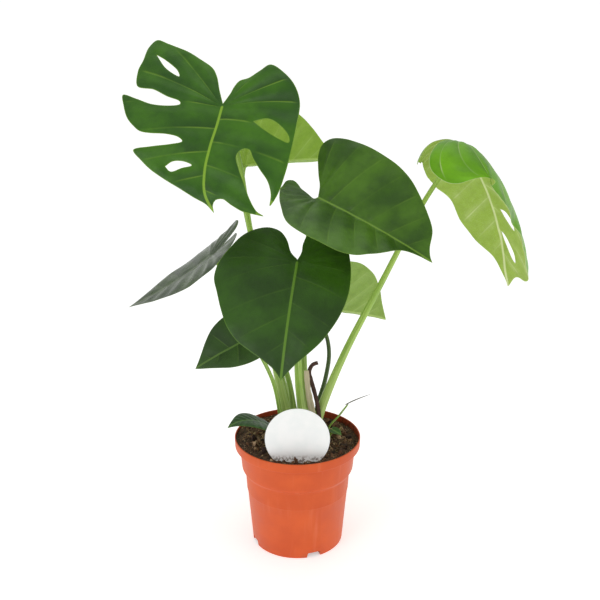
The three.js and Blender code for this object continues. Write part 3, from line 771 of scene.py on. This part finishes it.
thick = stalk_net.make("GeometryNodeInputNamedAttribute", {"Name": "thick"}, data_type="FLOAT")
tube = stalk_net.make("GeometryNodeCurveToMesh", {"Curve": spine, "Profile Curve": ring,
                                                  "Scale": thick, "Fill Caps": True})
end_tree(stalk_net, tube, given["Finish"])


def tube_along(name, line, thickness, finish, flatness=1.0, groove=0.16, sides=22):
    """A stalk along a line of points, in metres, with a half thickness at each point."""
    piece = new_object(name, line, [], finish, [(k, k + 1) for k in range(len(line) - 1)])
    gone = np.concatenate([[0], np.cumsum(np.linalg.norm(np.diff(line, axis=0), axis=1))])
    for layer, values in (("thick", thickness), ("along", gone), ("share", gone / gone[-1])):
        piece.data.attributes.new(layer, "FLOAT", "POINT").data.foreach_set("value", values)
    run_tree(piece, stalk_net, Sides=sides, Flatness=flatness, Groove=groove, Finish=finish)
    piece.data.shade_smooth()
    piece.data.set_sharp_from_angle(angle=radians(70))
    return piece


def stalk_finish(name, young, old, foot):
    """Stalk skin: green with fine pale stripes, paler towards its foot, with a darker joint on top."""
    made, net, shader = new_material(name)
    around = net.make("ShaderNodeAttribute", out="Vector", attribute_name="ring")
    along = net.make("ShaderNodeAttribute", out="Fac", attribute_name="along")
    share = net.make("ShaderNodeAttribute", out="Fac", attribute_name="share")
    rail = around.vector("ADD", net.make("ShaderNodeCombineXYZ", {2: along * 14.0}))
    stripes = rail.vector("MULTIPLY", (3.6, 3.6, 0.5)).noise(1.6, 4, 0.6)
    flecks = rail.vector("MULTIPLY", (4, 4, 16)).noise(2.0, 3)
    blotches = rail.vector("MULTIPLY", (0.8, 0.8, 1.2)).noise(1.0, 3)
    shade = blotches.ramp(0.35, 0.65).blend(srgb(*old), srgb(*young))
    shade = (stripes.ramp(0.46, 0.68) * 0.6).blend(shade, srgb(*foot))
    shade = (share.ramp(0.38, 0.08) * 0.6).blend(shade, srgb(*foot))
    shade = (stripes.ramp(0.42, 0.28) * 0.45).blend(shade, tuple(0.5 * c for c in srgb(*old)[:3]) + (1.0,))
    shade = (flecks.ramp(0.62, 0.78) * 0.30).blend(shade, srgb(196, 206, 150))
    joint = share.ramp(0.93, 0.955) * share.ramp(0.995, 0.975)
    shade = (joint * 0.35).blend(shade, srgb(*young))
    net.feed(shader["Base Color"], shade)
    net.feed(shader["Roughness"], flecks.ramp(0.3, 0.7, 0.38, 0.52) + joint * 0.12)
    net.feed(shader["Normal"], bump(net, stripes * 0.7 + flecks * 0.3, 0.0007, 0.7))
    return made


GREEN_STALK = stalk_finish("stalk_green", (148, 186, 64), (112, 152, 46), (206, 224, 140))
LIME_STALK = stalk_finish("stalk_lime", (162, 196, 78), (138, 176, 64), (196, 214, 132))
DARK_STALK = stalk_finish("stalk_dark", (72, 98, 44), (50, 74, 32), (120, 140, 84))


def grow(name, look, stalk_look=GREEN_STALK, **leaf):
    """Makes a blade and the stalk that carries it, from the soil to the blade's join."""
    finish = leaf_finish("skin_" + name, **look)
    blade = blade_mesh(name, leaf, finish)
    place(blade, "leaf_blade", name)
    axes = blade_axes(leaf["heading"], leaf["pitch"], leaf["roll"])
    join = np.array(leaf["join"], float)
    tip = leaf["stalk_tip"]
    below = join - axes[2] * (1.0 + tip)
    onward = join + axes[1] * 2.2 * tip - axes[2] * (0.5 * tip + 0.6)
    foot = np.array([*leaf["stalk"][0][:2], -24.0])
    line = smooth_line([foot, *leaf["stalk"], below, onward], 3.0)
    gone = np.concatenate([[0], np.cumsum(np.linalg.norm(np.diff(line, axis=0), axis=1))])
    share = gone / gone[-1]
    swell = 1 + 0.25 * np.clip(1 - share / 0.3, 0, None)
    taper = tip + (leaf["stalk_base"] - tip) * (1 - share) ** 1.3
    joint = 1 + 0.16 * np.exp(-((gone[-1] - gone - 14) / 8) ** 2)
    finish_off = np.clip((gone[-1] - gone) / (2.2 * tip), 0.35, 1)
    thickness = taper * swell * joint * finish_off
    stalk = tube_along("petiole_" + name, (line + (0, 0, SOIL_LEVEL)) * MM, thickness * MM, stalk_look)
    place(stalk, "leaf_stalk", name + "_stalk")


grow(
    "split_leaf_upper_left",
    look=dict(top=(34, 78, 2), glow=(62, 112, 6), under=(150, 174, 100), vein=(136, 176, 48)),
    join=[-90, -10, 450],
    heading=-104,
    pitch=-47,
    roll=-5,
    droop=17,
    power=1.4,
    lobe_bend=3,
    fold=[3, 3],
    curl=[-7, -7],
    notch=[0, -5],
    tip=[-16, 138],
    right=[
        [8, -24], [15, -43], [23, -55], [42, -67], [64, -79], [88, -88], [104, -93], [112, -82],
        [114, -60], [117, -44], [112, -21], [90, -17], [70, -8], [54, -3], [52, 1], [66, 5], [87, 4],
        [108, -2], [128, -8], [122, 10], [113, 27], [104, 36], [94, 43], [80, 45], [60, 45], [44, 48],
        [38, 53], [52, 58], [76, 63], [96, 69], [83, 82], [70, 92], [56, 100], [42, 107], [29, 113],
        [12, 121], [-4, 128],
    ],
    left=[
        [-6, -20], [-9, -31], [-14, -40], [-24, -45], [-36, -57], [-47, -67], [-66, -57], [-82, -40],
        [-92, -18], [-94, 14], [-93, 50], [-91, 81], [-86, 107], [-79, 122], [-78, 108], [-72, 93],
        [-61, 80], [-50, 66], [-44, 56], [-36, 56], [-30, 64], [-36, 81], [-45, 98], [-55, 117],
        [-65, 130], [-74, 135], [-62, 134], [-48, 132], [-34, 126], [-23, 120], [-15, 122], [-13, 128],
    ],
    holes=[
        [[98, -69], [84, -61], [66, -47], [62, -39], [80, -48]],
        [[53, 86], [45, 79], [31, 78], [21, 82], [32, 86], [45, 92]],
        [[-42, 16], [-59, 12], [-75, 20], [-87, 33], [-88, 40], [-77, 37], [-56, 26]],
    ],
    stalk=[[-9, 0, 0], [-15, 1, 40], [-29, 2, 109], [-60, -3, 300], [-72, -6, 388]],
    stalk_base=5.9,
    stalk_tip=3,
    midrib=[[0, 0], [1, 25], [4, 60], [4, 90], [-1, 116], [-16, 138]],
    veins=(97, 62, 31, 0.0012),
)


# ---- Centre right leaf ----
# A broad whole heart, turned to the right and tilted so that both basal lobes stand up round its join.
# It is the glossiest of the dark blades.
grow(
    "heart_leaf_centre_right",
    look=dict(top=(44, 80, 6), glow=(76, 118, 22), under=(150, 176, 106), vein=(112, 150, 44),
              panels=0.55),
    join=[25, -40, 346],
    heading=-29,
    pitch=-18,
    roll=28,
    droop=11,
    power=1.4,
    lobe_bend=15,
    fold=[27, 27],
    curl=[-8, -8],
    notch=[0, 0],
    tip=[2, 161],
    right=[
        [5, -3], [3, -13], [-1, -24], [-6, -32], [-9, -42], [-5, -50], [14, -45], [39, -31], [64, -13],
        [84, 6], [90, 25], [90, 50], [87, 76], [76, 94], [58, 104], [38, 115], [15, 128], [6, 144],
    ],
    left=[
        [-15, -6], [-26, -14], [-37, -21], [-50, -28], [-65, -31], [-77, -25], [-84, -11], [-87, 12],
        [-86, 38], [-82, 62], [-73, 86], [-62, 104], [-47, 124], [-32, 140], [-14, 148], [-5, 154],
    ],
    stalk=[[12, 10, 0], [11, 12, 40], [8, 12, 180], [14, -8, 290]],
    stalk_base=4.6,
    stalk_tip=3,
    veins=(80, 46, 27, 0.0014),
    quilt=1.8,
)


# ---- Centre front leaf ----
# The darkest whole heart, which leans out over the label on the thickest stalk and faces the front.
grow(
    "heart_leaf_centre_front",
    look=dict(top=(32, 64, 4), glow=(48, 88, 8), under=(136, 164, 92), vein=(96, 136, 36),
              panels=0.4),
    join=[0, -95, 281],
    heading=-101,
    pitch=-40,
    roll=-1,
    droop=21,
    power=1.4,
    lobe_bend=12,
    fold=[6, 6],
    curl=[-19, -19],
    notch=[0, -4],
    tip=[-1, 147],
    right=[
        [9, -13], [17, -31], [28, -44], [42, -49], [58, -45], [75, -34], [88, -10], [97, 8], [98, 24],
        [90, 45], [80, 69], [69, 90], [56, 105], [41, 115], [22, 126], [8, 136],
    ],
    left=[
        [-3, -14], [-3, -28], [-7, -41], [-17, -50], [-33, -52], [-48, -43], [-58, -22], [-64, 2],
        [-66, 27], [-64, 48], [-58, 69], [-51, 84], [-41, 100], [-28, 115], [-13, 131],
    ],
    stalk=[[9, -14, 0], [7, -14, 40], [2, -18, 92], [0, -40, 180], [1, -78, 255]],
    stalk_base=6.8,
    stalk_tip=3.1,
    veins=(76, 40, 34, 0.0012),
    quilt=0.5,
)


# ---- Left leaf ----
# A whole blade with a waxy bloom that curls along its length and is seen nearly edge-on.
grow(
    # Painted sheen: its greens are painted greyer for the glare off its waxy face in this grazing view.
    "edge_on_leaf_left",
    look=dict(top=(38, 60, 20), glow=(66, 88, 42), under=(132, 152, 98),
              vein=(92, 112, 62), gloss=0.3, sheen=0.35),
    join=[-115, 50, 246],
    heading=179,
    pitch=-41,
    roll=-4,
    droop=-17,
    power=0.8,
    lobe_bend=-15,
    fold=[8, 8],
    curl=[-24, -24],
    stalk=[[0, 13, 0], [-5, 14, 40], [-17, 19, 98], [-55, 32, 170], [-92, 43, 218]],
    stalk_base=4.6,
    stalk_tip=2.8,
    **heart(134, 0.78, 0.72),
)


# ---- Low left leaf ----
# A smaller dark heart on a short stalk, half hidden behind the front blade.
grow(
    "low_leaf_left",
    look=dict(top=(42, 70, 24), glow=(56, 88, 32), under=(136, 162, 94), vein=(92, 124, 52)),
    join=[-62, -45, 165],
    heading=197,
    pitch=-22,
    roll=-24,
    droop=30,
    power=1.4,
    lobe_bend=33,
    fold=[15, 15],
    curl=[-1, -1],
    stalk=[[-18, -12, 0], [-22, -14, 40], [-33, -22, 100]],
    stalk_base=3.6,
    stalk_tip=2.3,
    **heart(76, 1, 1),
)


# ---- Upper back leaf ----
# A heart that faces away from the label, so its pale yellow-green underside shows from the front.
grow(
    "back_leaf_upper",
    look=dict(top=(66, 106, 34), glow=(88, 130, 44), under=(136, 172, 54), vein=(164, 194, 92)),
    join=[-74, 120, 353],
    heading=33,
    pitch=1,
    roll=-41,
    droop=10,
    power=1.4,
    lobe_bend=15,
    fold=[24, 24],
    curl=[10, 10],
    stalk=[[-10, 24, 0], [-13, 26, 40], [-32, 42, 120], [-64, 88, 265], [-74, 106, 315]],
    stalk_base=4.4,
    stalk_tip=2.8,
    **heart(150, 1, 1.03),
)


# ---- Lower back leaf ----
# The same, lower down behind the right-hand stalks, on a dark green stalk.
grow(
    "back_leaf_lower",
    look=dict(top=(66, 106, 38), glow=(88, 130, 48), under=(138, 170, 76), vein=(166, 194, 104)),
    stalk_look=DARK_STALK,
    join=[18, 90, 158],
    heading=39,
    pitch=-14,
    roll=-36,
    droop=14,
    power=1.4,
    lobe_bend=15,
    fold=[24, 24],
    curl=[1, 1],
    stalk=[[24, 17, 0], [27, 19, 40], [38, 30, 78], [43, 42, 110], [38, 58, 134]],
    stalk_base=3.6,
    stalk_tip=2.6,
    **heart(147, 1, 1.05),
)


# ---- Drooping right leaf ----
# The youngest large blade, still soft and light green. Its lobes stand up round the end of the long
# stalk, and the rest folds down and back, so its pale underside shows, with two slots in it.
grow(
    "drooping_leaf_right",
    look=dict(top=(90, 148, 0), glow=(112, 174, 6), under=(164, 194, 80),
              vein=(222, 234, 172), gloss=0.4, sheen=0.15),
    stalk_look=LIME_STALK,
    join=[202, 24, 399],
    heading=27,
    pitch=-38,
    roll=-5,
    droop=38,
    power=0.6,
    lobe_bend=150,
    fold=[-29, 4],
    curl=[-30, -55],
    notch=[0, -6],
    tip=[0, 220],
    left=[
        [-3, -33], [-16, -65], [-37, -74], [-56, -52], [-64, -14], [-70, 20], [-64, 50], [-54, 82],
        [-50, 118], [-40, 145], [-27, 163], [-13, 184],
    ],
    right=[
        [6, -42], [27, -82], [66, -96], [98, -68], [113, -18], [112, 42], [100, 100], [85, 160],
        [50, 199], [18, 203],
    ],
    holes=[
        [[3, 139], [5, 150], [13, 164], [25, 180], [26, 172], [16, 154], [8, 143]],
        [[15, 104], [19, 116], [27, 126], [35, 132], [32, 118], [24, 106]],
    ],
    stalk=[[21, -1, 0], [31, 0, 44], [63, 4, 127], [110, 12, 223], [160, 20, 325], [185, 24, 366]],
    stalk_base=6.2,
    stalk_tip=2.8,
    veins=(70, 40, 34, 0.0010),
    quilt=0.8,
    wave=6.0,
    pinch=(42, 60, 26),
)


# ---- Small leaf over the rim ----
# A juvenile leaf, low on the left, that arches over the lip of the pot and curls down outside it.
grow(
    "small_leaf_over_rim",
    look=dict(top=(36, 74, 22), glow=(48, 88, 30), under=(120, 148, 84), vein=(88, 126, 52),
              gloss=0.45, sheen=0.08),
    join=[-42, -20, 34],
    heading=204,
    pitch=31,
    roll=3,
    droop=285,
    power=1.5,
    lobe_bend=42,
    fold=[5, 5],
    curl=[-37, -37],
    stalk=[[-30, -18, 0], [-33, -18, 14]],
    stalk_base=2,
    stalk_tip=1.4,
    veins=(82, 46, 8, 0.003),
    **heart(58, 0.95, 0.95),
)


# ---- Young leaf on the right ----
# A thin seedling leaf that has dried to a narrow grey-brown blade on a wiry stalk.
grow(
    "young_leaf_right",
    look=dict(top=(98, 94, 80), glow=(122, 116, 98), under=(110, 104, 88),
              vein=(84, 78, 62), gloss=0.6, sheen=0.0),
    join=[66, 8, 50],
    heading=8,
    pitch=24,
    roll=-20,
    droop=60,
    power=1.4,
    lobe_bend=15,
    fold=[6, 6],
    curl=[4, 4],
    notch=[0, -2],
    tip=[0, 36],
    right=[[2, -1], [4, 4], [4.4, 13], [3, 25]],
    left=[[-2, -1], [-4, 4], [-4, 14], [-2.6, 26]],
    stalk=[[40, 2, 0], [43, 3, 18], [56, 5, 34]],
    stalk_base=1.5,
    stalk_tip=1.1,
    veins=(70, 40, 7, 0.003),
)


# ---- Tiny leaf by the label ----
# A seedling leaf that lies just above the soil beside the label.
grow(
    "tiny_leaf_by_label",
    look=dict(top=(44, 76, 30), glow=(62, 98, 42), under=(120, 150, 84), vein=(100, 136, 62)),
    join=[48, -22, 26],
    heading=-40,
    pitch=-10,
    roll=0,
    droop=160,
    power=1.4,
    lobe_bend=15,
    fold=[8, 8],
    curl=[-10, -10],
    stalk=[[42, -14, 0], [43, -15, 12]],
    stalk_base=1.4,
    stalk_tip=1,
    veins=(80, 46, 5, 0.006),
    **heart(14, 1, 1),
)


# ---- Dry sheaths ----
# Papery remains of old leaf bases that cling to the foot of the stalks: a pale flat strip, and a thin
# brown one that has curled over at its top.
husk, net, shader = new_material("dry_husk_pale")
around = net.make("ShaderNodeAttribute", out="Vector", attribute_name="ring")
along = net.make("ShaderNodeAttribute", out="Fac", attribute_name="along")
rail = around.vector("ADD", net.make("ShaderNodeCombineXYZ", {2: along * 10.0}))
fibre = rail.vector("MULTIPLY", (5, 5, 0.6)).noise(2.0, 4, 0.65)
stain = rail.noise(1.3, 3)
shade = fibre.ramp(0.3, 0.7).blend(srgb(178, 164, 126), srgb(222, 212, 180))
net.feed(shader["Base Color"], (stain.ramp(0.55, 0.75) * 0.7).blend(shade, srgb(142, 138, 94)))
net.feed(shader["Roughness"], fibre.ramp(0.3, 0.7, 0.6, 0.85))
net.feed(shader["Normal"], bump(net, fibre, 0.0008))

brown_husk, net, shader = new_material("dry_husk_brown")
around = net.make("ShaderNodeAttribute", out="Vector", attribute_name="ring")
along = net.make("ShaderNodeAttribute", out="Fac", attribute_name="along")
rail = around.vector("ADD", net.make("ShaderNodeCombineXYZ", {2: along * 10.0}))
fibre = rail.vector("MULTIPLY", (5, 5, 0.8)).noise(2.0, 4, 0.65)
shade = fibre.ramp(0.3, 0.7).blend(srgb(44, 27, 22), srgb(96, 60, 46))
net.feed(shader["Base Color"], shade)
net.feed(shader["Roughness"], fibre.ramp(0.3, 0.7, 0.5, 0.8))
net.feed(shader["Normal"], bump(net, fibre, 0.0008))

SHEATHS = [
    ("pale_dry_sheath", husk, 5.6, 0.45, 0.2,
     [(23, -14, -12), (23.4, -14, 10), (20, -13, 44), (14, -17, 82), (11.6, -22, 112)]),
    ("brown_dry_sheath", brown_husk, 3.0, 0.1, 0.5,
     [(32, -11, -10), (31.5, -11, 14), (26, -9, 60), (18, -6, 92), (15.5, -5, 103), (20, -5, 113),
      (27, -5, 116)]),
]
for name, finish, wide, narrowing, flatness, path in SHEATHS:
    line = smooth_line(path, 2.5)
    share = np.linspace(0, 1, len(line))
    ragged = np.array([noise.noise(Vector((k * 0.35, wide, 0))) for k in range(len(line))])
    thickness = wide * (1 - narrowing * share ** 1.4) * (1 + 0.22 * ragged)
    sheath = tube_along("husk_" + name, (line + (0, 0, SOIL_LEVEL)) * MM, thickness * MM, finish,
                        flatness=flatness, groove=0.5)
    place(sheath, name, name)


# ---- Floor, light and camera ----
# A pale seamless floor under a white sky, a large soft lamp from the front left, a weaker one from the
# right and one overhead. The camera looks slightly down on the pot from the front.
floor_finish, net, shader = new_material("studio_floor")
cloud = net.make("ShaderNodeTexCoord", out="Object").noise(1.5, 2)
net.feed(shader["Base Color"], cloud.ramp(0.3, 0.7).blend(srgb(246, 246, 246), srgb(250, 250, 250)))
net.feed(shader["Roughness"], cloud.ramp(0.3, 0.7, 0.7, 0.8))
net.feed(shader["Emission Color"], cloud.ramp(0.3, 0.7).blend((0.97, 0.97, 0.97, 1), (1, 1, 1, 1)))
shader["Emission Strength"].default_value = 0.44
side = 30.0
floor = new_object("studio_floor", [(-side, -side, 0), (side, -side, 0), (side, side, 0),
                                    (-side, side, 0)], [(0, 1, 2, 3)], floor_finish)

sky = bpy.data.worlds.new("white_sky")
sky.use_nodes = True
sky.node_tree.nodes["Background"].inputs["Color"].default_value = (1, 1, 1, 1)
sky.node_tree.nodes["Background"].inputs["Strength"].default_value = 0.66
bpy.context.scene.world = sky

LAMPS = [
    ("key", (-1.3, -1.5, 1.7), 1.1, 9),
    ("fill", (1.7, -1.0, 1.0), 1.2, 3),
    ("overhead", (0.1, 0.5, 2.1), 1.4, 4),
]
for name, position, size, power in LAMPS:
    lamp = bpy.data.lights.new(name, "AREA")
    lamp.size = size
    lamp.energy = power
    holder = bpy.data.objects.new(name, lamp)
    holder.location = position
    aim = Vector((0, 0, 0.3)) - Vector(position)
    holder.rotation_euler = aim.to_track_quat("-Z", "Y").to_euler()
    bpy.context.scene.collection.objects.link(holder)

view = bpy.data.cameras.new("front_view")
view.sensor_width = 36
view.lens = 58.98
view.clip_start = 0.05
camera = bpy.data.objects.new("front_view", view)
camera.location = (0.0034, -1.2, 0.764)
camera.rotation_euler = (radians(90 - 19.14), 0, 0)
bpy.context.scene.collection.objects.link(camera)
bpy.context.scene.camera = camera
bpy.context.scene.view_settings.view_transform = "Standard"
